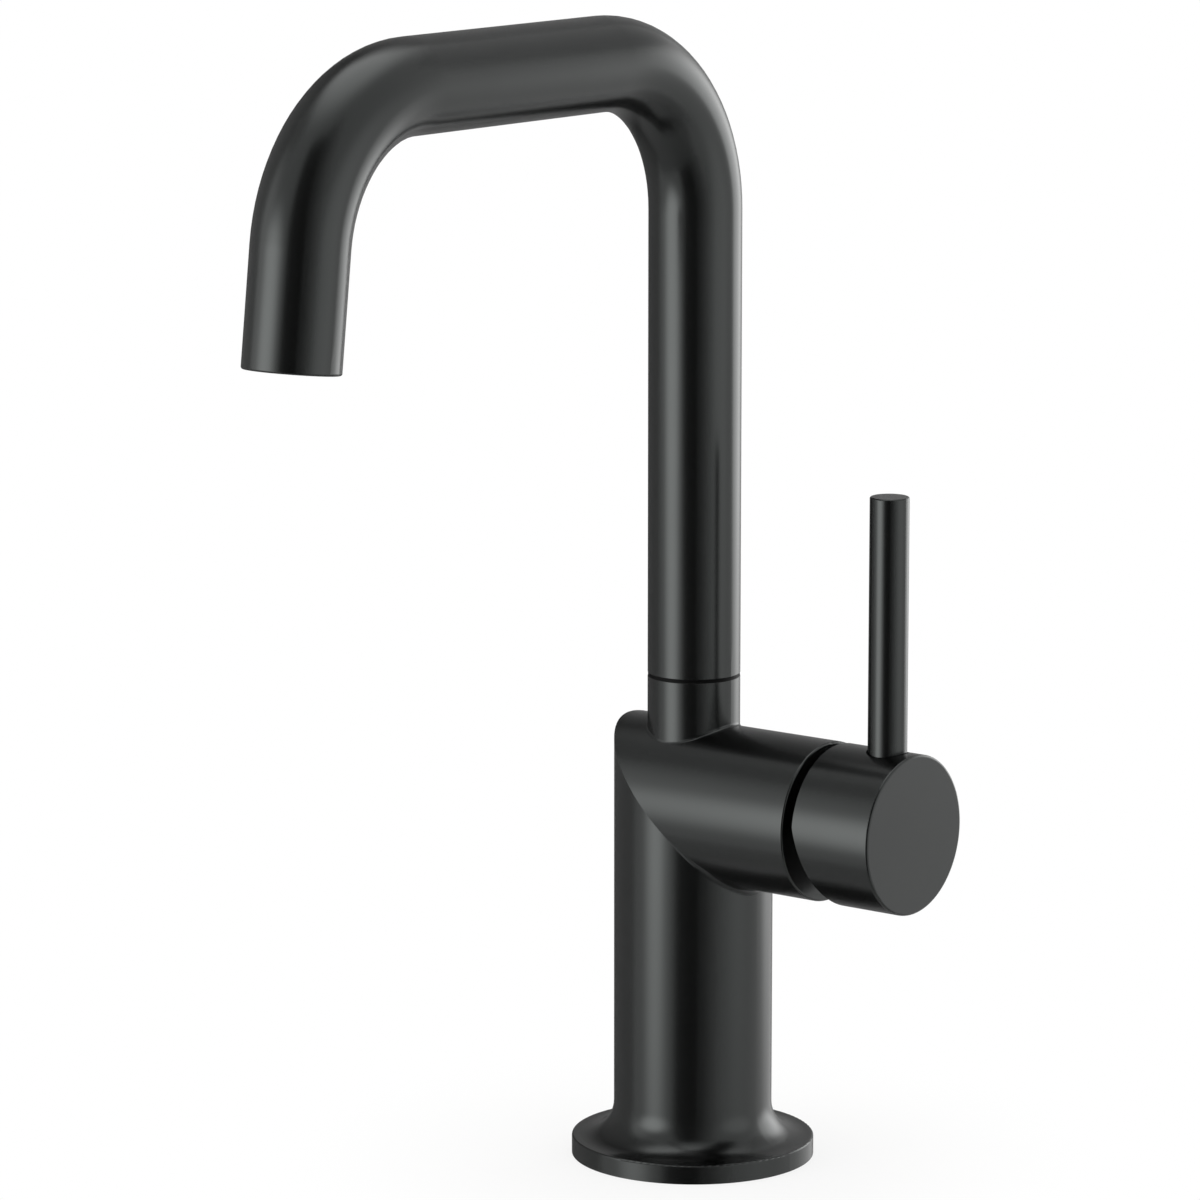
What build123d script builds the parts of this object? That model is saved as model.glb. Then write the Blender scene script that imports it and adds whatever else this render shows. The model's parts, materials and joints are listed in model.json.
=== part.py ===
from build123d import *
import math
import os

# Single-hole bar faucet: side lever on a mitred elbow, tall swivelling tube spout.
# Millimetres. Origin at the centre of the flange's underside, +Z up,
# spout towards -Y, handle on the +X side.

# Outside of the body
flange_radius = 33.54
flange_height = 5.33
flange_edge_round = 0.5
cove_radius = 9.5
column_radius = 21.856
barrel_height = 100.23
barrel_reach = 46.21
barrel_edge_round = 0.62
mitre_inner_round = 2.5
mitre_corner_reach = 80.0
mitre_corner_sections = 17
mitre_corner_sink = 0.012
mitre_corner_root = 3.0
neck_seam_round = 0.8
tube_radius = 12.7
swivel_height = 135.4

# Spout
spout_height = 305.235
spout_reach = 157.33
bend_radius = 42.0
outlet_lean = 7.07
outlet_leg = 68.3
spout_wall = 1.5
outlet_edge_round = 0.65

# Handle
handle_gap = 3.15
hub_length = 24.8
hub_radius = 21.78
hub_edge_round = 0.75
hub_wall = 3.5
hub_cavity_depth = 6.1
relief_rise = 2.65
relief_angle = 14.3
lever_radius = 5.315
lever_top = 191.12
lever_inset = 9.07
lever_edge_round = 0.5
lever_seat_depth = 2.2
lever_seat_gap = 0.4
lever_root_radius = 4.0
lever_root_length = 9.0
set_screw_radius = 2.5
set_screw_length = 12.0
set_screw_key = 2.5
set_screw_key_depth = 3.0

# Handle travel, degrees
turn_limit = 45.0
tilt_limit = 20.0

# Clearances
press_clearance = 0.02
seat_clearance = 0.05
running_clearance = 0.06
slot_clearance = 0.15
free_clearance = 0.3
match_tolerance = 0.01

# Foot of the column
column_wall = 4.4
gasket_inner_radius = 24.0
gasket_width = 6.0
gasket_thickness = 1.5
block_recess = 1.0
block_thickness = 12.0
block_shoulder = 1.2
stud_thread_radius = 3.4
stud_offset = 10.5
inlet_thread_radius = 4.5
inlet_thread_depth = 8.0
riser_radius = 4.0
riser_wall = 0.8
riser_socket_depth = 3.5
elbow_web = 36.0

# Cartridge, along the barrel's axis from its seat outwards
seat_depth = 35.21
barrel_wall = 4.5
mouth_wall = 1.75
base_thickness = 4.0
disc_thickness = 3.5
water_film = 0.02
carrier_thickness = 6.5
carrier_tongue_height = 2.0
carrier_tongue_width = 13.0
guide_flange_thickness = 3.5
guide_neck_radius = 9.6
guide_head = 4.0
housing_wall = 2.0
housing_lid = 3.0
stop_lug_radius = 12.6
stop_lug_angle = 24.0
stop_slack_angle = 2.0
nut_length = 6.4
nut_inner_radius = 13.0
nut_notch_width = 4.0
nut_notch_depth = 2.0
nut_notch_count = 4
cap_recess = 0.1
cap_thickness = 1.0
cap_hole_radius = 9.5
cap_skirt_wall = 1.2
inlet_port_radius = 2.4
inlet_port_side = 7.2
inlet_port_rise = 3.6
outlet_port_radius = 3.0
outlet_port_drop = 5.0
outlet_passage_radius = 3.2
port_seal_width = 1.5
port_seal_thickness = 1.2
disc_key_radius = 1.5
disc_key_rise = 6.0
disc_pocket_radius = 8.8
disc_pocket_depth = 2.0
locating_peg_radius = 1.5
locating_peg_length = 2.0
locating_peg_drop = 8.0

# Stem
stem_side = 7.0
stem_socket_depth = 9.5
stem_boss_radius = 4.4
stem_arm = 11.0
stem_arm_radius = 1.5
foot_radius = 2.0
foot_depth = 3.4
pivot_pin_radius = 1.5

# Swivel joint of the spout
glide_ring_thickness = 0.9
glide_ring_recess = 0.1
swivel_edge_round = 0.12
bush_wall = 1.65
bush_length = 29.0
post_thread_radius = 8.33
post_thread_length = 15.0
post_collar_width = 1.3
post_collar_thickness = 3.0
post_bore_radius = 6.0
post_end_length = 3.5
post_seal_section = 1.8
post_seal_heights = (10.0, 17.0)
retaining_ring_thickness = 1.2
retaining_ring_bite = 0.7
retaining_ring_stand = 0.9
retaining_ring_opening = 60.0

# Outlet
outlet_inset = 1.2
sleeve_length = 12.0
sleeve_wall = 1.2
sleeve_shoulder = 1.5
sleeve_shoulder_width = 1.5
aerator_seal_thickness = 1.0
aerator_wall = 1.2
aerator_lip = 0.8
aerator_lip_width = 0.8
regulator_thickness = 3.0
regulator_hole_radius = 1.1
regulator_hole_count = 8
regulator_hole_place = 5.8
grid_thickness = 2.0
grid_hole_radius = 0.75
grid_hole_pitch = 2.15
grid_rings = 3

# Places along the barrel's axis (X)
seat_reach = barrel_reach - seat_depth
hub_inner_end = barrel_reach + handle_gap
hub_outer_end = hub_inner_end + hub_length
hub_floor = hub_inner_end + hub_cavity_depth
lever_place = hub_outer_end - lever_inset
fixed_disc_place = seat_reach + base_thickness
moving_disc_place = fixed_disc_place + disc_thickness + water_film
carrier_place = moving_disc_place + disc_thickness
guide_place = carrier_place + carrier_thickness + free_clearance
housing_lid_place = guide_place + guide_flange_thickness + running_clearance
housing_end = housing_lid_place + housing_lid
nut_end = housing_end + nut_length
foot_place = carrier_place + foot_depth
pivot_place = foot_place + stem_arm
guide_end = pivot_place + guide_head
stem_end = hub_floor + stem_socket_depth
set_screw_place = hub_floor + stem_socket_depth / 2

# Radii about the barrel's axis
bore_radius = column_radius - barrel_wall
mouth_radius = column_radius - mouth_wall
housing_radius = bore_radius - seat_clearance
cavity_radius = housing_radius - housing_wall
slide_travel = stem_arm * math.radians(tilt_limit)
carrier_radius = cavity_radius - slide_travel - free_clearance
hub_cavity_radius = hub_radius - hub_wall

# Heights
neck_top = swivel_height - glide_ring_thickness / 2
spout_foot = swivel_height + glide_ring_thickness / 2 + running_clearance
core_top = barrel_height - elbow_web
block_top = block_recess + block_thickness
lever_seat = barrel_height + hub_radius - lever_seat_depth

# Radii about the column's axis
core_radius = column_radius - column_wall
spout_bore = tube_radius - spout_wall
bush_bore = spout_bore - press_clearance - bush_wall
journal_radius = bush_bore - running_clearance

# Ports on the cartridge's seat: side, height from the barrel's axis, radius
inlet_ports = [(side * inlet_port_side, inlet_port_rise, inlet_port_radius) for side in (-1, 1)]
outlet_port = (0.0, -outlet_port_drop, outlet_port_radius)
ports = inlet_ports + [outlet_port]


def upright(radius, low, high, x=0.0, y=0.0):
    """A round bar along Z."""
    bottom = (Align.CENTER, Align.CENTER, Align.MIN)
    return Pos(x, y, low) * Cylinder(radius, high - low, align=bottom)


def upright_ring(outer, inner, low, high):
    """A plain ring about the column's axis."""
    return upright(outer, low, high) - upright(inner, low, high)


def level(radius, near, far, side=0.0, rise=0.0):
    """A round bar along X, placed from the barrel's axis."""
    bottom = (Align.CENTER, Align.CENTER, Align.MIN)
    place = Plane((near, side, barrel_height + rise), x_dir=(0, 1, 0), z_dir=(1, 0, 0))
    return place * Cylinder(radius, far - near, align=bottom)


def level_ring(outer, inner, near, far, side=0.0, rise=0.0):
    """A plain ring about a line along X."""
    return level(outer, near, far, side, rise) - level(inner, near, far, side, rise)


def level_block(near, far, half_side, low, high):
    """A box about the barrel's axis, from low to high against that axis."""
    middle = ((near + far) / 2, 0, barrel_height + (low + high) / 2)
    return Pos(*middle) * Box(far - near, 2 * half_side, high - low)


def rim_edges(solid, axis, place, radius):
    """The circles of one radius that lie at one place along an axis."""
    circles = solid.edges().filter_by(GeomType.CIRCLE)
    level_with = circles.filter_by_position(axis, place - match_tolerance, place + match_tolerance)
    return [edge for edge in level_with if abs(edge.radius - radius) < match_tolerance]


def body_outside():
    """Flange, cove and column, the mitred elbow with its barrel, and the neck."""
    cove_top = flange_height + cove_radius
    cove_foot = column_radius + cove_radius
    foot_outline = [
        Polyline((0, 0), (flange_radius, 0), (flange_radius, flange_height), (cove_foot, flange_height)),
        RadiusArc((cove_foot, flange_height), (column_radius, cove_top), cove_radius),
        Polyline((column_radius, cove_top), (0, cove_top), (0, 0)),
    ]
    foot = revolve(Plane.XZ * make_face(foot_outline), Axis.Z)
    foot = fillet(rim_edges(foot, Axis.Z, flange_height, flange_radius), flange_edge_round)

    mitre = Plane((0, 0, barrel_height), x_dir=(0, 1, 0), z_dir=(1, 0, 1))
    column = split(upright(column_radius, cove_top, barrel_height + column_radius), mitre, Keep.BOTTOM)
    barrel = level(column_radius, -column_radius, barrel_reach)
    barrel = fillet(rim_edges(barrel, Axis.X, barrel_reach, column_radius), barrel_edge_round)
    barrel = split(barrel, mitre, Keep.TOP)
    neck = upright(tube_radius, barrel_height, neck_top)
    neck = fillet(rim_edges(neck, Axis.Z, neck_top, tube_radius), swivel_edge_round)
    elbow = column + barrel + neck
    neck_seam = elbow.edges().filter_by(GeomType.BSPLINE)
    return foot + (fillet(neck_seam, neck_seam_round) + mitre_corner())


def mitre_corner():
    """Soft inner corner of the mitre, as a ball rolled along it leaves it.

    The ball's middle stays on the mitre, one ball radius off both cylinders, so the fillet fades
    to nothing at the sides. It is sunk slightly, and starts and ends inside the metal.
    """
    ball_line = column_radius + mitre_inner_round * (1 - mitre_corner_sink)
    sections = []
    for index in range(mitre_corner_sections):
        turn = math.radians(mitre_corner_reach * (2 * index / (mitre_corner_sections - 1) - 1))
        across = math.cos(turn)
        aside = math.sin(turn)
        middle = Vector(across, aside, -across) * ball_line + Vector(0, 0, barrel_height)
        to_column = Vector(-across, -aside, 0) * mitre_inner_round
        to_barrel = Vector(0, -aside, across) * mitre_inner_round
        inward = (to_column + to_barrel).normalized() * mitre_inner_round
        root = middle + inward * mitre_corner_root
        sections.append(make_face([
            ThreePointArc(middle + to_column, middle + inward, middle + to_barrel),
            Polyline(middle + to_barrel, root, middle + to_column),
        ]))
    return loft(sections)


def body():
    """The casting, with its foot, cartridge bore, mouth, passages and post socket."""
    shape = body_outside()
    shape -= upright(core_radius, 0, block_top)
    shape -= upright(core_radius - block_shoulder, block_top, core_top)
    gasket_outer_radius = gasket_inner_radius + gasket_width
    shape -= upright_ring(gasket_outer_radius, gasket_inner_radius, 0, gasket_thickness)

    mouth = level(mouth_radius, housing_end, barrel_reach)
    shape -= level(bore_radius, seat_reach, housing_end) + mouth
    for side in (-1, 1):
        peg_hole = locating_peg_radius + seat_clearance
        shape -= level(peg_hole, seat_reach - locating_peg_length - seat_clearance, seat_reach,
                       side * inlet_port_side, -locating_peg_drop)

    # The two inlets rise side by side, and the outlet rises between them to the post
    for side, rise, radius in inlet_ports:
        shape -= level(radius, 0, seat_reach, side, rise)
        shape -= upright(radius, core_top, barrel_height + rise + radius, 0, side)
        shape -= upright(riser_radius + press_clearance, core_top, core_top + riser_socket_depth, 0, side)
    side, rise, radius = outlet_port
    shape -= level(radius, 0, seat_reach, side, rise)
    socket_foot = neck_top - post_collar_thickness - post_thread_length
    shape -= upright(outlet_passage_radius, barrel_height + rise - radius, socket_foot)
    shape -= upright(post_thread_radius, socket_foot, neck_top)
    shape -= upright(journal_radius + post_collar_width, neck_top - post_collar_thickness, neck_top)
    return shape


def base_gasket():
    outer = gasket_inner_radius + gasket_width - seat_clearance
    return upright_ring(outer, gasket_inner_radius + seat_clearance, 0, gasket_thickness)


def inlet_block():
    """Round block in the column's foot: stud thread, hose threads and riser sockets."""
    shape = upright(core_radius - press_clearance, block_recess, block_top)
    shape -= upright(stud_thread_radius, block_recess, block_top, -stud_offset, 0)
    for side, _, radius in inlet_ports:
        shape -= upright(inlet_thread_radius, block_recess, block_recess + inlet_thread_depth, 0, side)
        shape -= upright(radius, block_recess, block_top, 0, side)
        shape -= upright(riser_radius + press_clearance, block_top - riser_socket_depth, block_top, 0, side)
    return shape


def riser(side):
    low = block_top - riser_socket_depth
    high = core_top + riser_socket_depth
    bore = upright(riser_radius - riser_wall, low, high, 0, side)
    return upright(riser_radius, low, high, 0, side) - bore


def port_seals():
    rings = []
    for side, rise, radius in ports:
        end = seat_reach + port_seal_thickness
        rings.append(level_ring(radius + port_seal_width, radius, seat_reach, end, side, rise))
    return Compound(children=rings)


def disc_keys(radius):
    """The pegs that keep the fixed disc from turning."""
    key_side = math.sqrt((cavity_radius - seat_clearance) ** 2 - disc_key_rise ** 2)
    far = fixed_disc_place + disc_thickness / 2
    return [level(radius, fixed_disc_place, far, side * key_side, disc_key_rise) for side in (-1, 1)]


def cartridge_base():
    shape = level(housing_radius, seat_reach, fixed_disc_place)
    for side, rise, radius in ports:
        pocket = radius + port_seal_width + seat_clearance
        shape -= level(pocket, seat_reach, seat_reach + port_seal_thickness, side, rise)
        shape -= level(radius, seat_reach, fixed_disc_place, side, rise)
    inside = level(cavity_radius - seat_clearance, fixed_disc_place, fixed_disc_place + disc_thickness)
    for key in disc_keys(disc_key_radius - seat_clearance):
        shape += key & inside
    for side in (-1, 1):
        shape += level(locating_peg_radius, seat_reach - locating_peg_length, seat_reach,
                       side * inlet_port_side, -locating_peg_drop)
    return shape


def fixed_disc():
    shape = level(cavity_radius - seat_clearance, fixed_disc_place, fixed_disc_place + disc_thickness)
    for side, rise, radius in ports:
        shape -= level(radius, fixed_disc_place, fixed_disc_place + disc_thickness, side, rise)
    for key in disc_keys(disc_key_radius):
        shape -= key
    return shape


def moving_disc():
    """Ceramic disc whose pocket joins the inlets to the outlet once it has slid up."""
    shape = level(carrier_radius, moving_disc_place, carrier_place)
    pocket_top = inlet_port_rise - inlet_port_radius - slot_clearance
    pocket = level(disc_pocket_radius, moving_disc_place, moving_disc_place + disc_pocket_depth)
    pocket -= level_block(moving_disc_place, carrier_place, carrier_radius, pocket_top, carrier_radius)
    return shape - pocket


def disc_carrier():
    """Carrier with a tongue that slides in the stem guide, and a slot for the stem's foot."""
    tongue_end = carrier_place + carrier_thickness + carrier_tongue_height
    shape = level(carrier_radius, carrier_place, carrier_place + carrier_thickness)
    tongue_half = carrier_tongue_width / 2
    rail = level_block(carrier_place, tongue_end, tongue_half, -carrier_radius, carrier_radius)
    shape += level(carrier_radius, carrier_place, tongue_end) & rail
    half_side = foot_radius + slot_clearance
    slot_floor = foot_place - foot_radius - slot_clearance
    shape -= level_block(slot_floor, tongue_end, half_side, -half_side, half_side)
    arm_swing = slide_travel - (pivot_place - tongue_end) * math.tan(math.radians(tilt_limit))
    flare = arm_swing + stem_arm_radius / math.cos(math.radians(tilt_limit)) + free_clearance
    shape -= level_block(foot_place + foot_radius / 2, tongue_end, half_side, -flare, half_side)
    return shape


def cartridge_housing():
    """Shell round the discs, with a lid whose notch stops the stem guide's lug."""
    shape = level(housing_radius, fixed_disc_place, housing_end)
    shape -= level(cavity_radius, fixed_disc_place, housing_lid_place)
    shape -= level(guide_neck_radius + running_clearance, housing_lid_place, housing_end)
    notch_angle = stop_lug_angle + 2 * turn_limit + stop_slack_angle
    return shape - lug(stop_lug_radius + running_clearance, notch_angle, housing_lid_place, housing_end)


def lug(radius, angle, near, far):
    """A sector about the barrel's axis, centred straight up."""
    half = math.radians(angle / 2)
    start = (radius * math.sin(-half), radius * math.cos(half))
    end = (radius * math.sin(half), radius * math.cos(half))
    outline = [Polyline(end, (0, 0), start), ThreePointArc(start, (0, radius), end)]
    place = Plane((near, 0, barrel_height), x_dir=(0, 1, 0), z_dir=(1, 0, 0))
    return place * extrude(make_face(outline), far - near)


def stem_guide():
    """Rotor in the cartridge: groove for the carrier below, slot for the tilting stem."""
    shape = level(cavity_radius - running_clearance, guide_place, guide_place + guide_flange_thickness)
    shape += level(guide_neck_radius, guide_place, guide_end)
    shape += lug(stop_lug_radius, stop_lug_angle, guide_place, housing_end - free_clearance)
    groove_end = carrier_place + carrier_thickness + carrier_tongue_height + free_clearance
    groove_half = carrier_tongue_width / 2 + slot_clearance
    shape -= level_block(guide_place, groove_end, groove_half, -cavity_radius, cavity_radius)
    tilt = math.radians(tilt_limit)
    slot_half = guide_head * math.tan(tilt) + stem_side / 2 / math.cos(tilt) + free_clearance
    shape -= level_block(guide_place, guide_end, stem_side / 2 + slot_clearance, -slot_half, slot_half)
    pin_hole = cross_pin(pivot_pin_radius + running_clearance, guide_neck_radius)
    return shape - pin_hole


def cross_pin(radius, half_length):
    """A round bar along Y through the stem's pivot."""
    place = Plane((pivot_place, -half_length, barrel_height), z_dir=(0, 1, 0))
    return place * Cylinder(radius, 2 * half_length, align=(Align.CENTER, Align.CENTER, Align.MIN))


def pivot_pin():
    reach = math.sqrt(guide_neck_radius ** 2 - pivot_pin_radius ** 2)
    return cross_pin(pivot_pin_radius, reach)


def valve_stem():
    """Square shank, round boss on the pivot pin, and an arm that ends in a ball foot."""
    half = stem_side / 2
    shape = level_block(pivot_place, stem_end, half, -half, half)
    shape += cross_pin(stem_boss_radius, half)
    shape += level(stem_arm_radius, foot_place, pivot_place)
    shape += Pos(foot_place, 0, barrel_height) * Sphere(foot_radius)
    return shape - cross_pin(pivot_pin_radius + running_clearance, half)


def bonnet_nut():
    """Ring nut that clamps the cartridge, notched for a pin wrench."""
    shape = level_ring(mouth_radius - seat_clearance, nut_inner_radius, housing_end, nut_end)
    for index in range(nut_notch_count):
        notch = Pos(nut_end - nut_notch_depth / 2, 0, barrel_height)
        notch *= Rot(X=360 / nut_notch_count * (index + 0.5))
        middle = (mouth_radius + nut_inner_radius) / 2
        width = mouth_radius - nut_inner_radius
        shape -= notch * Pos(0, middle, 0) * Box(nut_notch_depth, 2 * width, nut_notch_width)
    return shape


def bonnet_cap():
    """Flat cover that closes the barrel's mouth round the stem, on a skirt that stands on the nut."""
    cap_radius = mouth_radius - seat_clearance
    cap_end = barrel_reach - cap_recess
    shape = level_ring(cap_radius, cap_hole_radius, cap_end - cap_thickness, cap_end)
    return shape + level_ring(cap_radius, cap_radius - cap_skirt_wall, nut_end, cap_end - cap_thickness)


def handle_hub():
    """Drum with a hollow inner end, stem socket, lever seat and set screw hole."""
    shape = level(hub_radius, hub_inner_end, hub_outer_end)
    shape = fillet(rim_edges(shape, Axis.X, hub_outer_end, hub_radius), hub_edge_round)
    shape -= level(hub_cavity_radius, hub_inner_end, hub_floor)
    relief_edge = (hub_inner_end, 0, barrel_height + relief_rise)
    slant = math.radians(relief_angle)
    relief = Plane(relief_edge, x_dir=(0, 1, 0), z_dir=(math.cos(slant), 0, math.sin(slant)))
    shape = split(shape, relief, Keep.TOP)
    half = stem_side / 2 + seat_clearance
    shape -= level_block(hub_floor, stem_end + seat_clearance, half, -half, half)
    hub_top = barrel_height + hub_radius
    shape -= upright(lever_radius + lever_seat_gap, lever_seat, hub_top, lever_place)
    root_end = lever_seat - lever_root_length
    shape -= upright(lever_root_radius + press_clearance, root_end, hub_top, lever_place)
    screw_hole = set_screw_radius + press_clearance
    shape -= upright(screw_hole, barrel_height - hub_radius, barrel_height, set_screw_place)
    return shape


def lever():
    """Plain rod with a threaded root in the hub."""
    rod = upright(lever_radius, lever_seat, lever_top, lever_place)
    rod = fillet(rim_edges(rod, Axis.Z, lever_top, lever_radius), lever_edge_round)
    return rod + upright(lever_root_radius, lever_seat - lever_root_length, lever_seat, lever_place)


def set_screw():
    """Grub screw from the hub's underside to the flat of the stem."""
    high = barrel_height - stem_side / 2
    low = high - set_screw_length
    key = extrude(RegularPolygon(set_screw_key / 2, 6, major_radius=False), set_screw_key_depth)
    return upright(set_screw_radius, low, high, set_screw_place) - Pos(set_screw_place, 0, low) * key


def spout_post():
    """Hollow post screwed into the neck, with seal grooves and a ring groove."""
    ring_low = spout_foot + bush_length + free_clearance
    post_top = ring_low + retaining_ring_thickness + post_end_length
    thread_low = neck_top - post_collar_thickness - post_thread_length
    shape = upright(post_thread_radius - press_clearance, thread_low, neck_top)
    collar = journal_radius + post_collar_width - press_clearance
    shape += upright(collar, neck_top - post_collar_thickness, neck_top)
    shape += upright(journal_radius, neck_top, post_top)
    shape -= upright(post_bore_radius, thread_low, post_top)
    for height in post_seal_heights:
        shape -= post_groove(post_seal_section, spout_foot + height, post_seal_section)
    return shape - post_groove(retaining_ring_bite, ring_low, retaining_ring_thickness)


def post_groove(depth, low, height):
    return upright_ring(tube_radius, journal_radius - depth, low, low + height)


def post_seals():
    """Two rubber rings in the post's grooves, flattened against the bush."""
    inner = journal_radius - post_seal_section + seat_clearance
    rings = []
    for height in post_seal_heights:
        low = spout_foot + height + seat_clearance
        high = spout_foot + height + post_seal_section - seat_clearance
        rings.append(upright_ring(journal_radius, inner, low, high))
    return Compound(children=rings)


def retaining_ring():
    """Open spring ring in the post's top groove, just above the bush."""
    low = spout_foot + bush_length + free_clearance
    high = low + retaining_ring_thickness
    inner = journal_radius - retaining_ring_bite + seat_clearance
    shape = upright_ring(journal_radius + retaining_ring_stand, inner, low, high)
    half = math.radians(retaining_ring_opening / 2)
    reach = 2 * tube_radius
    corner = (reach * math.cos(half), reach * math.sin(half))
    opening = make_face(Polyline((0, 0), corner, (corner[0], -corner[1]), close=True))
    return shape - Pos(0, 0, low) * extrude(opening, retaining_ring_thickness)


def glide_ring():
    """Thin ring between neck and spout, whose edge shows as a dark line."""
    low = neck_top
    high = low + glide_ring_thickness
    return upright_ring(tube_radius - glide_ring_recess, journal_radius + seat_clearance, low, high)


def spout_path():
    """Upright, level arm and leaning outlet leg, joined by two equal bends."""
    lean = math.radians(outlet_lean)
    tip = (0, -spout_reach - outlet_leg * math.sin(lean), spout_height - outlet_leg * math.cos(lean))
    corners = [(0, 0, spout_foot), (0, 0, spout_height), (0, -spout_reach, spout_height), tip]
    return FilletPolyline(*corners, radius=bend_radius)


def spout():
    path = spout_path()
    tube = sweep(Pos(0, 0, spout_foot) * (Circle(tube_radius) - Circle(spout_bore)), path)
    for end, edge_round in ((path @ 0, swivel_edge_round), (path @ 1, outlet_edge_round)):
        circles = tube.edges().filter_by(GeomType.CIRCLE)
        at_end = [edge for edge in circles if (edge.arc_center - end).length < match_tolerance]
        rim = [edge for edge in at_end if abs(edge.radius - tube_radius) < match_tolerance]
        tube = fillet(rim, edge_round)
    return tube


def spout_bush():
    return upright_ring(spout_bore - press_clearance, bush_bore, spout_foot, spout_foot + bush_length)


def outlet_place(depth):
    """Plane across the outlet leg, a depth inside its end and facing out of it."""
    path = spout_path()
    along = path % 1
    return Plane((path @ 1) - along * depth, x_dir=(1, 0, 0), z_dir=along)


def outlet_bar(radius, deep, shallow):
    """A round bar along the outlet leg between two depths inside its end."""
    bottom = (Align.CENTER, Align.CENTER, Align.MIN)
    return outlet_place(deep) * Cylinder(radius, deep - shallow, align=bottom)


sleeve_radius = spout_bore - press_clearance
aerator_thread_radius = sleeve_radius - sleeve_wall
sleeve_deep = outlet_inset + sleeve_length
shoulder_depth = sleeve_deep - sleeve_shoulder
aerator_deep = shoulder_depth - aerator_seal_thickness
aerator_radius = aerator_thread_radius - seat_clearance
aerator_bore = aerator_radius - aerator_wall
grid_shallow = outlet_inset + aerator_lip


def outlet_sleeve():
    shape = outlet_bar(sleeve_radius, sleeve_deep, outlet_inset)
    shape -= outlet_bar(aerator_thread_radius, shoulder_depth, outlet_inset)
    return shape - outlet_bar(aerator_thread_radius - sleeve_shoulder_width, sleeve_deep, outlet_inset)


def aerator_seal():
    shape = outlet_bar(aerator_radius, shoulder_depth, aerator_deep)
    return shape - outlet_bar(aerator_thread_radius - sleeve_shoulder_width, shoulder_depth, aerator_deep)


def aerator_housing():
    shape = outlet_bar(aerator_radius, aerator_deep, outlet_inset)
    shape -= outlet_bar(aerator_bore, aerator_deep, grid_shallow)
    return shape - outlet_bar(aerator_bore - aerator_lip_width, aerator_deep, outlet_inset)


def flow_regulator():
    """Disc with a ring of small holes at the aerator's upper end."""
    radius = aerator_bore - seat_clearance
    shape = outlet_bar(radius, aerator_deep, aerator_deep - regulator_thickness)
    hole_places = PolarLocations(regulator_hole_place, regulator_hole_count)
    holes = Sketch() + hole_places * Circle(regulator_hole_radius)
    return shape - outlet_place(aerator_deep) * extrude(holes, regulator_thickness)


def stream_grid():
    """Honeycomb of six-sided holes that the water leaves by."""
    shape = outlet_bar(aerator_bore - seat_clearance, grid_shallow + grid_thickness, grid_shallow)
    cell = RegularPolygon(grid_hole_radius, 6)
    cells = [cell]
    for ring in range(1, grid_rings + 1):
        for corner in range(6):
            start = Vector(grid_hole_pitch * ring, 0).rotate(Axis.Z, 60 * corner)
            step = Vector(grid_hole_pitch, 0).rotate(Axis.Z, 60 * corner + 120)
            cells += [Pos(start + step * index) * cell for index in range(ring)]
    holes = extrude(Sketch() + cells, grid_thickness)
    return shape - outlet_place(grid_shallow + grid_thickness) * holes


pieces = {
    "body": body(),
    "base_gasket": base_gasket(),
    "inlet_block": inlet_block(),
    "hot_riser": riser(inlet_port_side),
    "cold_riser": riser(-inlet_port_side),
    "port_seals": port_seals(),
    "cartridge_base": cartridge_base(),
    "fixed_disc": fixed_disc(),
    "moving_disc": moving_disc(),
    "disc_carrier": disc_carrier(),
    "cartridge_housing": cartridge_housing(),
    "stem_guide": stem_guide(),
    "pivot_pin": pivot_pin(),
    "valve_stem": valve_stem(),
    "bonnet_nut": bonnet_nut(),
    "bonnet_cap": bonnet_cap(),
    "handle_hub": handle_hub(),
    "lever": lever(),
    "set_screw": set_screw(),
    "spout_post": spout_post(),
    "post_seals": post_seals(),
    "retaining_ring": retaining_ring(),
    "glide_ring": glide_ring(),
    "spout": spout(),
    "spout_bush": spout_bush(),
    "outlet_sleeve": outlet_sleeve(),
    "aerator_seal": aerator_seal(),
    "aerator_housing": aerator_housing(),
    "flow_regulator": flow_regulator(),
    "stream_grid": stream_grid(),
}

os.makedirs("parts", exist_ok=True)
for name, shape in pieces.items():
    export_step(shape, f"parts/{name}.step")
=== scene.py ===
import json
import math

import bmesh
import bpy
from mathutils import Euler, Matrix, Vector


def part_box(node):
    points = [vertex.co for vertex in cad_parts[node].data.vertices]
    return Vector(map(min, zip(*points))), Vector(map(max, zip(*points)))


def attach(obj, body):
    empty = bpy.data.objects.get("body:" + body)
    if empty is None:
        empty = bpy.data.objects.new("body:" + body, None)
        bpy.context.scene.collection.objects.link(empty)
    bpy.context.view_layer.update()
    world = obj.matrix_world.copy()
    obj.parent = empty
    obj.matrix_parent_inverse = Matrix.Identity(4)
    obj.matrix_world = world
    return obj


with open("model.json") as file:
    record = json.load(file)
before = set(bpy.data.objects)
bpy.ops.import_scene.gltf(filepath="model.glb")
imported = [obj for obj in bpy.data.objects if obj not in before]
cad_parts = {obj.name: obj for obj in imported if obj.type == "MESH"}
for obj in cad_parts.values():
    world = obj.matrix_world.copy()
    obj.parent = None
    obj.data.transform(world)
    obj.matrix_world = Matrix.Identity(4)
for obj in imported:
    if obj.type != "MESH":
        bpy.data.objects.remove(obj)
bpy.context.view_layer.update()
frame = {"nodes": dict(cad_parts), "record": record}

nodes = frame["nodes"]
record = frame["record"]
scene = bpy.context.scene
MM = 0.001

# Camera, as the photograph was taken: a long lens from the spout's right, a little above
CAMERA_PLACE = (0.95133, -1.25083, 0.44695)
CAMERA_TURN = 38.193
CAMERA_DIP = 10.499
CAMERA_LENS = 175.48
SENSOR = 36.0

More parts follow.
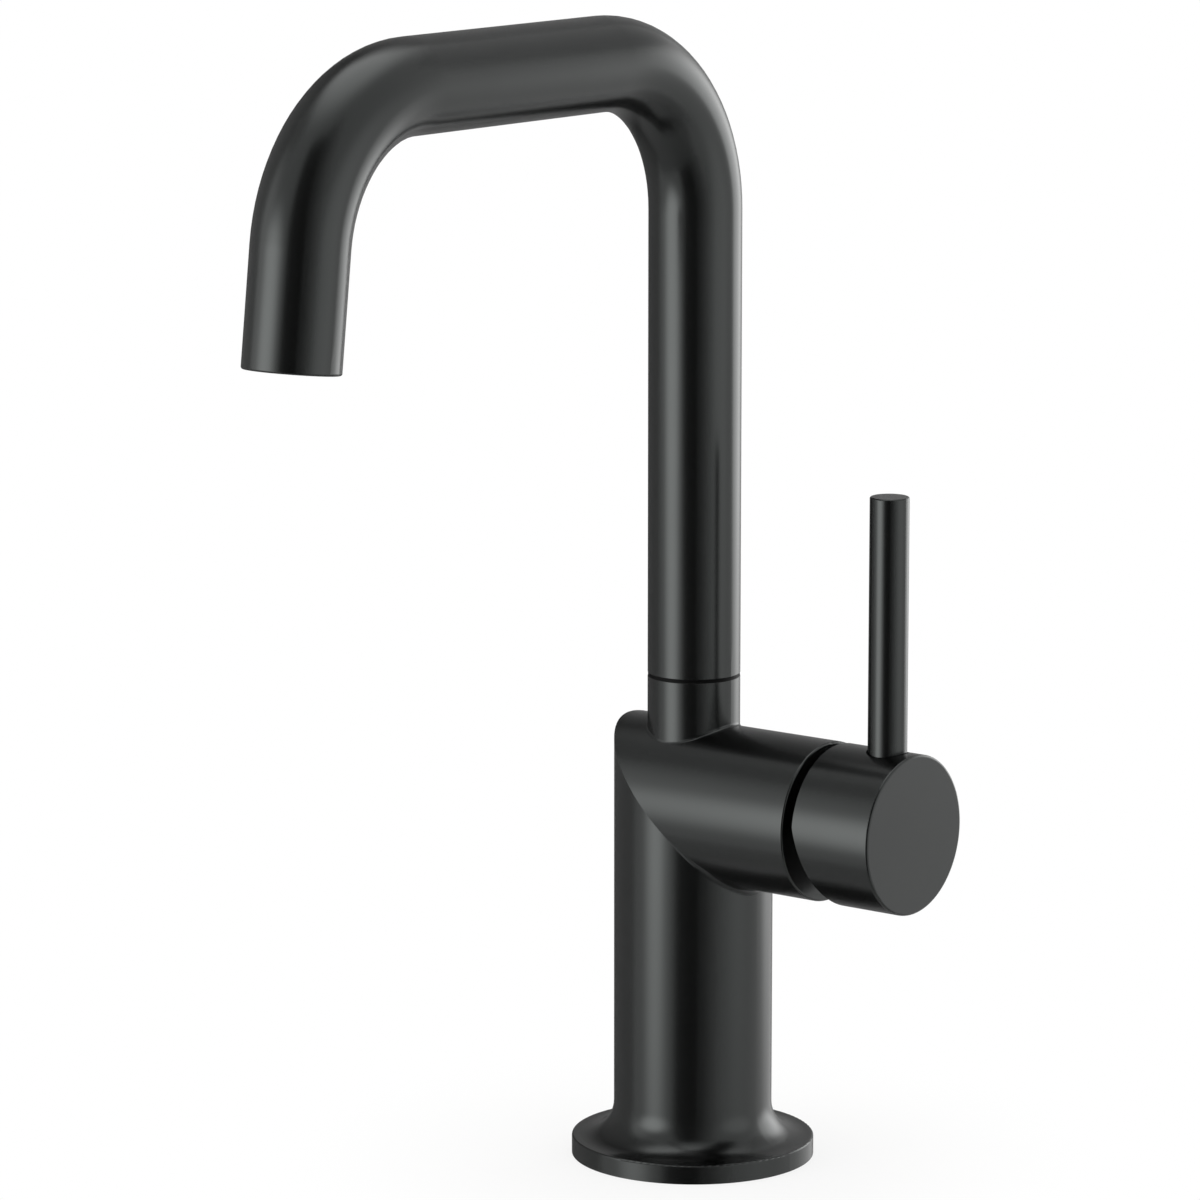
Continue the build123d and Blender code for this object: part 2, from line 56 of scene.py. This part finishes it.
# Of the CAD part: the height of the barrel's axis, the outlet's lean and the spout's tube
BARREL_HEIGHT = 100.23 * MM
OUTLET_LEAN = math.radians(7.07)
TUBE_RADIUS = 12.7 * MM

# How far shading is evened across mesh seams, and the heights between which that sets in: above
# the tube's ends, above the deck on the cove, and down from the barrel on the column
EVEN_REACH = 2.5 * MM
EVEN_SAMPLES = 16
TUBE_CRISP, TUBE_EVEN = 3.0 * MM, 9.0 * MM
COVE_CRISP, COVE_EVEN = 6.5 * MM, 9.0 * MM
COLUMN_CRISP, COLUMN_EVEN = 60.0 * MM, 50.0 * MM

# Surface patterns: sizes in millimetres, and the width of a grained surface's clouds in grains
ORANGE_PEEL = 0.6
GLOSS_DRIFT = 30.0
LATHE_RING = 0.5
PAPER_FIBRE = 2.0
CLOUD_GRAINS = 12
# Noise keeps mostly between these two values, and a wave of scale 1 repeats after this length
NOISE_LOW, NOISE_HIGH = 0.3, 0.7
WAVE_REPEAT = math.pi / 10

# Tapped threads: the pitch of an M8 stud and of M10 x 1 hose ends, and the ridge's half width as
# a share of the pitch
STUD_PITCH = 1.25 * MM
HOSE_PITCH = 1.0 * MM
RIDGE_SHARE = 0.25
RIDGE_SIDES = 4
STEPS_A_TURN = 40

# Studio, in metres: what the lamps and cards are set round, and how far off they are
CENTRE = Vector((0.0, -0.04, 0.16))
LAMP_DISTANCE = 1.2
LOW_CARD_DROP = 1.2
# The floor lies just under the deck face; its shadow is strongest up to the first of two distances
# and gone from the second, and this share of pure white keeps it faint
FLOOR_RADIUS = 0.15
FLOOR_SIDES = 96
FLOOR_DROP = 0.1 * MM
SHADOW_NEAR, SHADOW_FAR = 0.03, 0.12
SHADOW_WHITE = 0.82


def colour(code):
    """An sRGB hex colour as linear RGBA."""
    parts = [int(code[i:i + 2], 16) / 255 for i in (1, 3, 5)]
    linear = [c / 12.92 if c <= 0.04045 else ((c + 0.055) / 1.055) ** 2.4 for c in parts]
    return (*linear, 1.0)


def per_metre(size_mm):
    """The texture scale whose features are about this many millimetres across."""
    return 1.0 / (size_mm * MM)


def add(tree, kind, settings=None, values=None, links=None):
    """Adds a node, sets its properties and socket values, and links other sockets into it."""
    node = tree.nodes.new(kind)
    for name, value in (settings or {}).items():
        setattr(node, name, value)
    for socket, value in (values or {}).items():
        node.inputs[socket].default_value = value
    for socket, source in (links or {}).items():
        tree.links.new(source, node.inputs[socket])
    return node


def new_material(name):
    """An empty node material; returns it, its tree and its Object coordinates."""
    material = bpy.data.materials.new(name)
    material.use_nodes = True
    tree = material.node_tree
    tree.nodes.clear()
    return material, tree, add(tree, "ShaderNodeTexCoord").outputs["Object"]


def tube_reach(tree, place):
    """How far the spout's shading is evened: not near its foot and its outlet, whose rims stay
    crisp. Between the two, the height to measure from goes over from the one to the other."""
    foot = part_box("spout")[0]
    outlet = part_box("outlet_sleeve")[0]
    spot = add(tree, "ShaderNodeSeparateXYZ", {}, {}, {"Vector": place}).outputs
    end = add(tree, "ShaderNodeMapRange", {},
              {"From Min": outlet[1] + 2 * TUBE_RADIUS, "From Max": -TUBE_RADIUS,
               "To Min": outlet[2], "To Max": foot[2]}, {"Value": spot["Y"]})
    rise = add(tree, "ShaderNodeMath", {"operation": "SUBTRACT"}, {},
               {0: spot["Z"], 1: end.outputs["Result"]})
    reach = add(tree, "ShaderNodeMapRange", {},
                {"From Min": TUBE_CRISP, "From Max": TUBE_EVEN, "To Min": 0.0, "To Max": EVEN_REACH},
                {"Value": rise.outputs["Value"]})
    return reach.outputs["Result"]


def column_reach(tree, place):
    """How far the body's shading is evened: on the cove and the column, but not on the flange's
    edge below nor the barrel above."""
    height = add(tree, "ShaderNodeSeparateXYZ", {}, {}, {"Vector": place}).outputs["Z"]
    above_flange, below_barrel = (
        add(tree, "ShaderNodeMapRange", {},
            {"From Min": crisp, "From Max": even, "To Min": 0.0, "To Max": EVEN_REACH},
            {"Value": height})
        for crisp, even in ((COVE_CRISP, COVE_EVEN), (COLUMN_CRISP, COLUMN_EVEN)))
    reach = add(tree, "ShaderNodeMath", {"operation": "MINIMUM"}, {},
                {0: above_flange.outputs["Result"], 1: below_barrel.outputs["Result"]})
    return reach.outputs["Value"]


def satin_black_coat(name, reach=None):
    """Satin black powder coat on metal: sprayed as powder and baked, so it flows to a soft sheen
    with a very fine orange peel, and reads as neutral black with wide, soft highlights."""
    material, tree, place = new_material(name)
    peel = add(tree, "ShaderNodeTexNoise", {},
               {"Scale": per_metre(ORANGE_PEEL), "Detail": 2.0}, {"Vector": place})
    # The film's gloss drifts slowly
    drift = add(tree, "ShaderNodeTexNoise", {},
                {"Scale": per_metre(GLOSS_DRIFT), "Detail": 3.0}, {"Vector": place})
    tint = add(tree, "ShaderNodeMix", {"data_type": "RGBA"},
               {"A": colour("#010101"), "B": colour("#030303")}, {"Factor": peel.outputs["Fac"]})
    gloss = add(tree, "ShaderNodeMapRange", {},
                {"From Min": NOISE_LOW, "From Max": NOISE_HIGH, "To Min": 0.22, "To Max": 0.25},
                {"Value": drift.outputs["Fac"]})
    relief = {"Height": peel.outputs["Fac"]}
    if reach:
        # Baked powder flows out even, so the seam lines of the mesh don't show in its shading
        even = add(tree, "ShaderNodeBevel", {"samples": EVEN_SAMPLES}, {},
                   {"Radius": reach(tree, place)})
        relief["Normal"] = even.outputs["Normal"]
    bump = add(tree, "ShaderNodeBump", {}, {"Strength": 0.04, "Distance": 0.05 * MM}, relief)
    shader = add(tree, "ShaderNodeBsdfPrincipled", {},
                 {"IOR": 1.5, "Specular Tint": colour("#f9fffd")},
                 {"Base Color": tint.outputs["Result"], "Roughness": gloss.outputs["Result"],
                  "Normal": bump.outputs["Normal"]})
    add(tree, "ShaderNodeOutputMaterial", {}, {}, {"Surface": shader.outputs["BSDF"]})
    return material


def grained(name, dark, light, grain, gloss, height, constants):
    """A surface with one fine grain in its colour and height, and slow clouds in its gloss. Grain
    and height are in millimetres."""
    material, tree, place = new_material(name)
    fine = add(tree, "ShaderNodeTexNoise", {},
               {"Scale": per_metre(grain), "Detail": 3.0}, {"Vector": place})
    slow = add(tree, "ShaderNodeTexNoise", {},
               {"Scale": per_metre(CLOUD_GRAINS * grain), "Detail": 2.0}, {"Vector": place})
    tint = add(tree, "ShaderNodeMix", {"data_type": "RGBA"},
               {"A": colour(dark), "B": colour(light)}, {"Factor": fine.outputs["Fac"]})
    sheen = add(tree, "ShaderNodeMapRange", {},
                {"From Min": NOISE_LOW, "From Max": NOISE_HIGH,
                 "To Min": gloss[0], "To Max": gloss[1]}, {"Value": slow.outputs["Fac"]})
    bump = add(tree, "ShaderNodeBump", {}, {"Strength": 0.3, "Distance": height * MM},
               {"Height": fine.outputs["Fac"]})
    shader = add(tree, "ShaderNodeBsdfPrincipled", {}, constants,
                 {"Base Color": tint.outputs["Result"], "Roughness": sheen.outputs["Result"],
                  "Normal": bump.outputs["Normal"]})
    add(tree, "ShaderNodeOutputMaterial", {}, {}, {"Surface": shader.outputs["BSDF"]})
    return material


def turned_brass(name, centre, turn):
    """Brass bar turned on a lathe: the tool leaves fine rings round the axis, along the sides and
    across the ends, that glint warm yellow. The real feed of 0.15 mm is drawn wider, to show."""
    material, tree, place = new_material(name)
    spin = Euler(turn)
    on_axis = add(tree, "ShaderNodeMapping", {},
                  {"Rotation": spin, "Location": -(spin.to_matrix() @ Vector(centre))},
                  {"Vector": place})
    parts = add(tree, "ShaderNodeSeparateXYZ", {}, {}, {"Vector": on_axis.outputs["Vector"]})
    across = add(tree, "ShaderNodeCombineXYZ", {}, {},
                 {"X": parts.outputs["X"], "Y": parts.outputs["Y"]})
    radius = add(tree, "ShaderNodeVectorMath", {"operation": "LENGTH"}, {},
                 {0: across.outputs["Vector"]})
    along = add(tree, "ShaderNodeMath", {"operation": "ADD"}, {},
                {0: radius.outputs["Value"], 1: parts.outputs["Z"]})
    path = add(tree, "ShaderNodeCombineXYZ", {}, {}, {"X": along.outputs["Value"]})
    rings = add(tree, "ShaderNodeTexWave", {"wave_type": "BANDS", "bands_direction": "X"},
                {"Scale": per_metre(LATHE_RING) * WAVE_REPEAT, "Distortion": 0.4, "Detail": 2.0,
                 "Detail Scale": 3.0}, {"Vector": path.outputs["Vector"]})
    tint = add(tree, "ShaderNodeMix", {"data_type": "RGBA"},
               {"A": colour("#b08a4a"), "B": colour("#cfae6c")}, {"Factor": rings.outputs["Fac"]})
    gloss = add(tree, "ShaderNodeMapRange", {}, {"To Min": 0.24, "To Max": 0.36},
                {"Value": rings.outputs["Fac"]})
    bump = add(tree, "ShaderNodeBump", {}, {"Strength": 0.25, "Distance": 0.02 * MM},
               {"Height": rings.outputs["Fac"]})
    shader = add(tree, "ShaderNodeBsdfPrincipled", {}, {"Metallic": 1.0},
                 {"Base Color": tint.outputs["Result"], "Roughness": gloss.outputs["Result"],
                  "Normal": bump.outputs["Normal"]})
    add(tree, "ShaderNodeOutputMaterial", {}, {}, {"Surface": shader.outputs["BSDF"]})
    return material


column_brass = turned_brass("turned_brass_column", (0, 0, 0), (0, 0, 0))
barrel_brass = turned_brass("turned_brass_barrel", (0, 0, BARREL_HEIGHT), (0, math.radians(-90), 0))
sleeve_middle = [(low + high) / 2 for low, high in zip(*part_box("outlet_sleeve"))]
outlet_brass = turned_brass("turned_brass_outlet", sleeve_middle, (OUTLET_LEAN, 0, 0))
finishes = {
    "black_body": satin_black_coat("satin_black_coat_on_body", column_reach),
    "black_spout": satin_black_coat("satin_black_coat_on_tube", tube_reach),
    "black_handle": satin_black_coat("satin_black_coat_on_handle"),
    "brass": column_brass,
    # Black acetal, moulded in a spark-eroded tool: a fine even matt that kills reflections
    "black_plastic": grained("moulded_black_acetal", dark="#030303", light="#070707",
                             grain=0.3, gloss=(0.6, 0.7), height=0.02,
                             constants={"IOR": 1.48, "Specular IOR Level": 0.1}),
    # Natural acetal, moulded in a polished tool: milky white with a waxy gloss and faint flow marks
    "cartridge_plastic": grained("moulded_white_acetal", dark="#dad7cc", light="#e4e2d9",
                                 grain=0.8, gloss=(0.3, 0.4), height=0.01, constants={"IOR": 1.48}),
    # Copper tube, drawn and then soldered: warm red with a soft, slightly clouded shine
    "copper": grained("drawn_copper_tube", dark="#a9623f", light="#c67c57",
                      grain=1.5, gloss=(0.25, 0.38), height=0.01, constants={"Metallic": 1.0}),
    # Stainless wire and pin, tumbled after forming: grey, evenly dulled by tiny nicks
    "stainless": grained("tumbled_stainless_steel", dark="#a4a4a0", light="#c2c2be",
                         grain=0.35, gloss=(0.28, 0.4), height=0.01, constants={"Metallic": 1.0}),
    # EPDM rubber, moulded and dusted with talc: soft dark grey-black with almost no shine
    "rubber": grained("moulded_epdm_rubber", dark="#0f0f0f", light="#1b1b1a",
                      grain=0.4, gloss=(0.68, 0.82), height=0.03, constants={"IOR": 1.48}),
    # Alumina ceramic, fired and lapped flat: cream white, smooth as glass with a faint speckle
    "ceramic": grained("lapped_alumina_ceramic", dark="#e2ddd0", light="#eeeae0",
                       grain=0.5, gloss=(0.14, 0.22), height=0.003, constants={"IOR": 1.76}),
    # Black glide plastic, turned from bar and left raw: matt, so its edge reads as a dark line
    "glide_plastic": grained("turned_black_glide_plastic", dark="#020202", light="#050505",
                             grain=0.3, gloss=(0.45, 0.55), height=0.01,
                             constants={"IOR": 1.4, "Specular IOR Level": 0.1}),
    # Dark grey acetal of the stream former, moulded smooth: holes and webs pick up small glints
    "grid_plastic": grained("moulded_grey_acetal", dark="#242424", light="#303030",
                            grain=0.3, gloss=(0.32, 0.42), height=0.01, constants={"IOR": 1.48}),
}
own_finishes = {
    "bonnet_nut": barrel_brass,
    "outlet_sleeve": outlet_brass,
    # Brass stem, milled square, with a dull gloss. Painted shade: its colour is made near black,
    # so that the gap beside the hub stays dark
    "valve_stem": grained("brass_stem_painted_shade", dark="#0b0a09", light="#15130f",
                          grain=0.5, gloss=(0.5, 0.62), height=0.01, constants={"Metallic": 1.0}),
}
for part in record["subparts"]:
    mesh = nodes[part["node"]].data
    mesh.materials.clear()
    mesh.materials.append(own_finishes.get(part["node"], finishes[part["material_slot"]]))


def thread_tree():
    """Geometry Nodes that wind a pointed ridge up the wall of a tapped hole; returns the tree and
    the identifiers of its inputs."""
    tree = bpy.data.node_groups.new("tapped_thread", "GeometryNodeTree")
    inputs = {"Radius": "NodeSocketFloat", "Pitch": "NodeSocketFloat", "Height": "NodeSocketFloat",
              "Ridge": "NodeSocketFloat", "Foot": "NodeSocketVector",
              "Material": "NodeSocketMaterial"}
    sockets = {name: tree.interface.new_socket(name, in_out="INPUT", socket_type=kind).identifier
               for name, kind in inputs.items()}
    tree.interface.new_socket("Thread", in_out="OUTPUT", socket_type="NodeSocketGeometry")
    given = add(tree, "NodeGroupInput").outputs
    turns = add(tree, "ShaderNodeMath", {"operation": "DIVIDE"}, {},
                {0: given["Height"], 1: given["Pitch"]})
    helix = add(tree, "GeometryNodeCurveSpiral", {}, {"Resolution": STEPS_A_TURN},
                {"Rotations": turns.outputs["Value"], "Start Radius": given["Radius"],
                 "End Radius": given["Radius"], "Height": given["Height"]})
    upright = add(tree, "GeometryNodeSetCurveNormal", {"mode": "Z_UP"}, {},
                  {"Curve": helix.outputs["Curve"]})
    ridge = add(tree, "GeometryNodeCurvePrimitiveCircle", {}, {"Resolution": RIDGE_SIDES},
                {"Radius": given["Ridge"]})
    wound = add(tree, "GeometryNodeCurveToMesh", {}, {"Fill Caps": True},
                {"Curve": upright.outputs["Curve"], "Profile Curve": ridge.outputs["Curve"]})
    placed = add(tree, "GeometryNodeTransform", {}, {},
                 {"Geometry": wound.outputs["Mesh"], "Translation": given["Foot"]})
    real = add(tree, "GeometryNodeRealizeInstances", {}, {},
               {"Geometry": placed.outputs["Geometry"]})
    dressed = add(tree, "GeometryNodeSetMaterial", {}, {},
                  {"Geometry": real.outputs["Geometry"], "Material": given["Material"]})
    add(tree, "NodeGroupOutput", {}, {}, {"Thread": dressed.outputs["Geometry"]})
    return tree, sockets


def thread(name, tree, sockets, mount, pitch):
    """The visible thread of a tapped hole. Its ridge is half sunk in the wall, and stays clear of
    both ends of the hole."""
    ridge = RIDGE_SHARE * pitch
    height = mount["dims"]["length_mm"] * MM - 4 * ridge
    x, y, z = mount["pos_m"]
    values = {"Radius": mount["dims"]["r_mm"] * MM, "Pitch": pitch, "Height": height,
              "Ridge": ridge, "Foot": (x, y, z - height / 2), "Material": column_brass}
    maker = bpy.data.objects.new(name + "_maker", bpy.data.meshes.new(name + "_maker"))
    scene.collection.objects.link(maker)
    winding = maker.modifiers.new("thread", "NODES")
    winding.node_group = tree
    for label, value in values.items():
        winding[sockets[label]] = value
    shape = maker.evaluated_get(bpy.context.evaluated_depsgraph_get())
    mesh = bpy.data.meshes.new_from_object(shape)
    mesh.name = name
    bpy.data.objects.remove(maker)
    piece = bpy.data.objects.new(name, mesh)
    scene.collection.objects.link(piece)
    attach(piece, "fixed_body")


winding_tree, winding_sockets = thread_tree()
mounts = {mount["name"]: mount for mount in record["mounts"]}
thread("stud_thread", winding_tree, winding_sockets, mounts["stud_hole"], STUD_PITCH)
thread("hot_inlet_thread", winding_tree, winding_sockets, mounts["hot_inlet"], HOSE_PITCH)
thread("cold_inlet_thread", winding_tree, winding_sockets, mounts["cold_inlet"], HOSE_PITCH)

# A white room
scene.view_settings.view_transform = "Standard"
world = bpy.data.worlds.new("white_room")
world.use_nodes = True
world.node_tree.nodes.clear()
walls = add(world.node_tree, "ShaderNodeBackground", {},
            {"Color": colour("#ffffff"), "Strength": 1.0})
add(world.node_tree, "ShaderNodeOutputWorld", {}, {}, {"Surface": walls.outputs["Background"]})
scene.world = world


def toward(azimuth, elevation, distance):
    """A step from the object's middle; azimuth 0 is the spout's side, 90 the handle's."""
    a = math.radians(azimuth)
    e = math.radians(elevation)
    return distance * Vector((math.sin(a) * math.cos(e), -math.cos(a) * math.cos(e), math.sin(e)))


def facing(place):
    """The turn of a lamp or card at a place, towards the object's middle."""
    return (CENTRE - place).to_track_quat("-Z", "Y").to_euler()


def softbox(name, azimuth, elevation, width, height, radiance, core):
    """An oval diffuser, evenly lit within its core and fading to nothing at its rim."""
    lamp_data = bpy.data.lights.new(name, "AREA")
    lamp_data.shape = "ELLIPSE"
    lamp_data.size = width
    lamp_data.size_y = height
    area = math.pi / 4 * width * height
    lamp_data.energy = radiance * math.pi * area
    lamp_data.use_nodes = True
    tree = lamp_data.node_tree
    tree.nodes.clear()
    spot = add(tree, "ShaderNodeNewGeometry").outputs["Parametric"]
    reach = add(tree, "ShaderNodeVectorMath", {"operation": "DISTANCE"}, {1: (0.5, 0.5, 0.0)},
                {0: spot})
    fade = add(tree, "ShaderNodeMapRange", {"interpolation_type": "SMOOTHSTEP"},
               {"From Min": core / 2, "From Max": 0.5, "To Min": 1.0, "To Max": 0.0},
               {"Value": reach.outputs["Value"]})
    glow = add(tree, "ShaderNodeEmission", {}, {}, {"Strength": fade.outputs["Result"]})
    add(tree, "ShaderNodeOutputLight", {}, {}, {"Surface": glow.outputs["Emission"]})
    lamp = bpy.data.objects.new(name, lamp_data)
    scene.collection.objects.link(lamp)
    lamp.location = CENTRE + toward(azimuth, elevation, LAMP_DISTANCE)
    lamp.rotation_euler = facing(lamp.location)


def painted_card(name, width, left, right):
    """Card painted matt, from one grey at its left edge, seen from the object, to another at its
    right: it gives the satin coat soft, even shades to reflect."""
    material, tree, place = new_material(name)
    across = add(tree, "ShaderNodeSeparateXYZ", {}, {}, {"Vector": place}).outputs["X"]
    blend = add(tree, "ShaderNodeMapRange", {}, {"From Min": width / 2, "From Max": -width / 2},
                {"Value": across})
    tint = add(tree, "ShaderNodeMix", {"data_type": "RGBA"},
               {"A": colour(left), "B": colour(right)}, {"Factor": blend.outputs["Result"]})
    shader = add(tree, "ShaderNodeBsdfDiffuse", {}, {}, {"Color": tint.outputs["Result"]})
    add(tree, "ShaderNodeOutputMaterial", {}, {}, {"Surface": shader.outputs["BSDF"]})
    return material


def card(name, place, turn, width, low, high, left, right):
    """A flat card between two heights, that shows only in the object's reflections."""
    mesh = bpy.data.meshes.new(name)
    side = width / 2
    mesh.from_pydata([(-side, low, 0), (side, low, 0), (side, high, 0), (-side, high, 0)], [],
                     [(0, 1, 2, 3)])
    mesh.materials.append(painted_card("painted_card_" + name, width, left, right))
    obj = bpy.data.objects.new(name, mesh)
    scene.collection.objects.link(obj)
    obj.location = place
    obj.rotation_euler = turn
    obj.visible_camera = False


def upright_card(name, azimuth, distance, width, low, high, left, right):
    """A card that stands upright beside the object and faces it."""
    place = CENTRE + toward(azimuth, 0, distance)
    card(name, place, facing(place), width, low, high, left, right)


softbox("main_light", azimuth=-20.5, elevation=-1.5, width=1.25, height=1.5, radiance=3.45, core=0.25)
softbox("edge_light", azimuth=-46, elevation=14, width=0.8, height=1.3, radiance=0.6, core=0.3)
softbox("back_light", azimuth=166, elevation=4, width=1.3, height=1.2, radiance=2.2, core=0.4)
softbox("fill_light", azimuth=104, elevation=2, width=1.4, height=1.4, radiance=0.66, core=0.3)
softbox("top_light", azimuth=-125, elevation=81, width=1.7, height=1.7, radiance=1.5, core=0.25)
upright_card("camera_flag", azimuth=28, distance=1.1, width=0.74, low=-1.1, high=1.7,
             left="#464646", right="#747474")
upright_card("shade_flag", azimuth=62, distance=1.1, width=0.56, low=-1.1, high=1.7,
             left="#ffffff", right="#707070")
upright_card("side_flag", azimuth=-90.5, distance=1.0, width=1.18, low=-1.6, high=1.55,
             left="#bcbcbc", right="#656565")
upright_card("rear_flag", azimuth=-143, distance=1.0, width=0.83, low=-1.6, high=1.75,
             left="#606060", right="#b4b4b4")
upright_card("high_flag", azimuth=-64, distance=1.0, width=0.9, low=0.95, high=1.9,
             left="#dedede", right="#c6c6c6")
upright_card("back_flag", azimuth=170, distance=1.0, width=1.0, low=0.52, high=1.2,
             left="#dedede", right="#dedede")
upright_card("low_back_flag", azimuth=140, distance=1.0, width=1.2, low=-1.2, high=-0.68,
             left="#eaeaea", right="#eaeaea")
# Lies flat, far below the floor
card("low_flag", CENTRE - Vector((0, 0, LOW_CARD_DROP)), (0, 0, 0), width=2.4, low=-1.2, high=1.2,
     left="#c8c8c8", right="#c8c8c8")


def white_paper():
    """White paper sweep, uncoated: a faint fibre, and it melts into the white of the room."""
    material, tree, place = new_material("white_paper_floor")
    fibre = add(tree, "ShaderNodeTexNoise", {}, {"Scale": per_metre(PAPER_FIBRE), "Detail": 4.0},
                {"Vector": place})
    tint = add(tree, "ShaderNodeMix", {"data_type": "RGBA"},
               {"A": colour("#efefed"), "B": colour("#f4f4f2")}, {"Factor": fibre.outputs["Fac"]})
    paper = add(tree, "ShaderNodeBsdfDiffuse", {}, {}, {"Color": tint.outputs["Result"]})
    white = add(tree, "ShaderNodeEmission", {}, {"Color": colour("#ffffff"), "Strength": 1.0})
    reach = add(tree, "ShaderNodeVectorMath", {"operation": "LENGTH"}, {}, {0: place})
    fade = add(tree, "ShaderNodeMapRange", {"interpolation_type": "SMOOTHSTEP"},
               {"From Min": SHADOW_NEAR, "From Max": SHADOW_FAR, "To Min": SHADOW_WHITE},
               {"Value": reach.outputs["Value"]})
    mix = add(tree, "ShaderNodeMixShader", {}, {},
              {0: fade.outputs["Result"], 1: paper.outputs["BSDF"], 2: white.outputs["Emission"]})
    add(tree, "ShaderNodeOutputMaterial", {}, {}, {"Surface": mix.outputs["Shader"]})
    return material


floor_mesh = bpy.data.meshes.new("floor")
disc = bmesh.new()
bmesh.ops.create_circle(disc, cap_ends=True, segments=FLOOR_SIDES, radius=FLOOR_RADIUS)
disc.to_mesh(floor_mesh)
disc.free()
floor_mesh.materials.append(white_paper())
floor = bpy.data.objects.new("floor", floor_mesh)
scene.collection.objects.link(floor)
floor.location.z = -FLOOR_DROP
floor.visible_glossy = False

camera_data = bpy.data.cameras.new("camera")
camera_data.lens = CAMERA_LENS
camera_data.sensor_width = SENSOR
camera = bpy.data.objects.new("camera", camera_data)
scene.collection.objects.link(camera)
camera.location = CAMERA_PLACE
camera.rotation_euler = Euler((math.radians(90 - CAMERA_DIP), 0, math.radians(CAMERA_TURN)))
scene.camera = camera
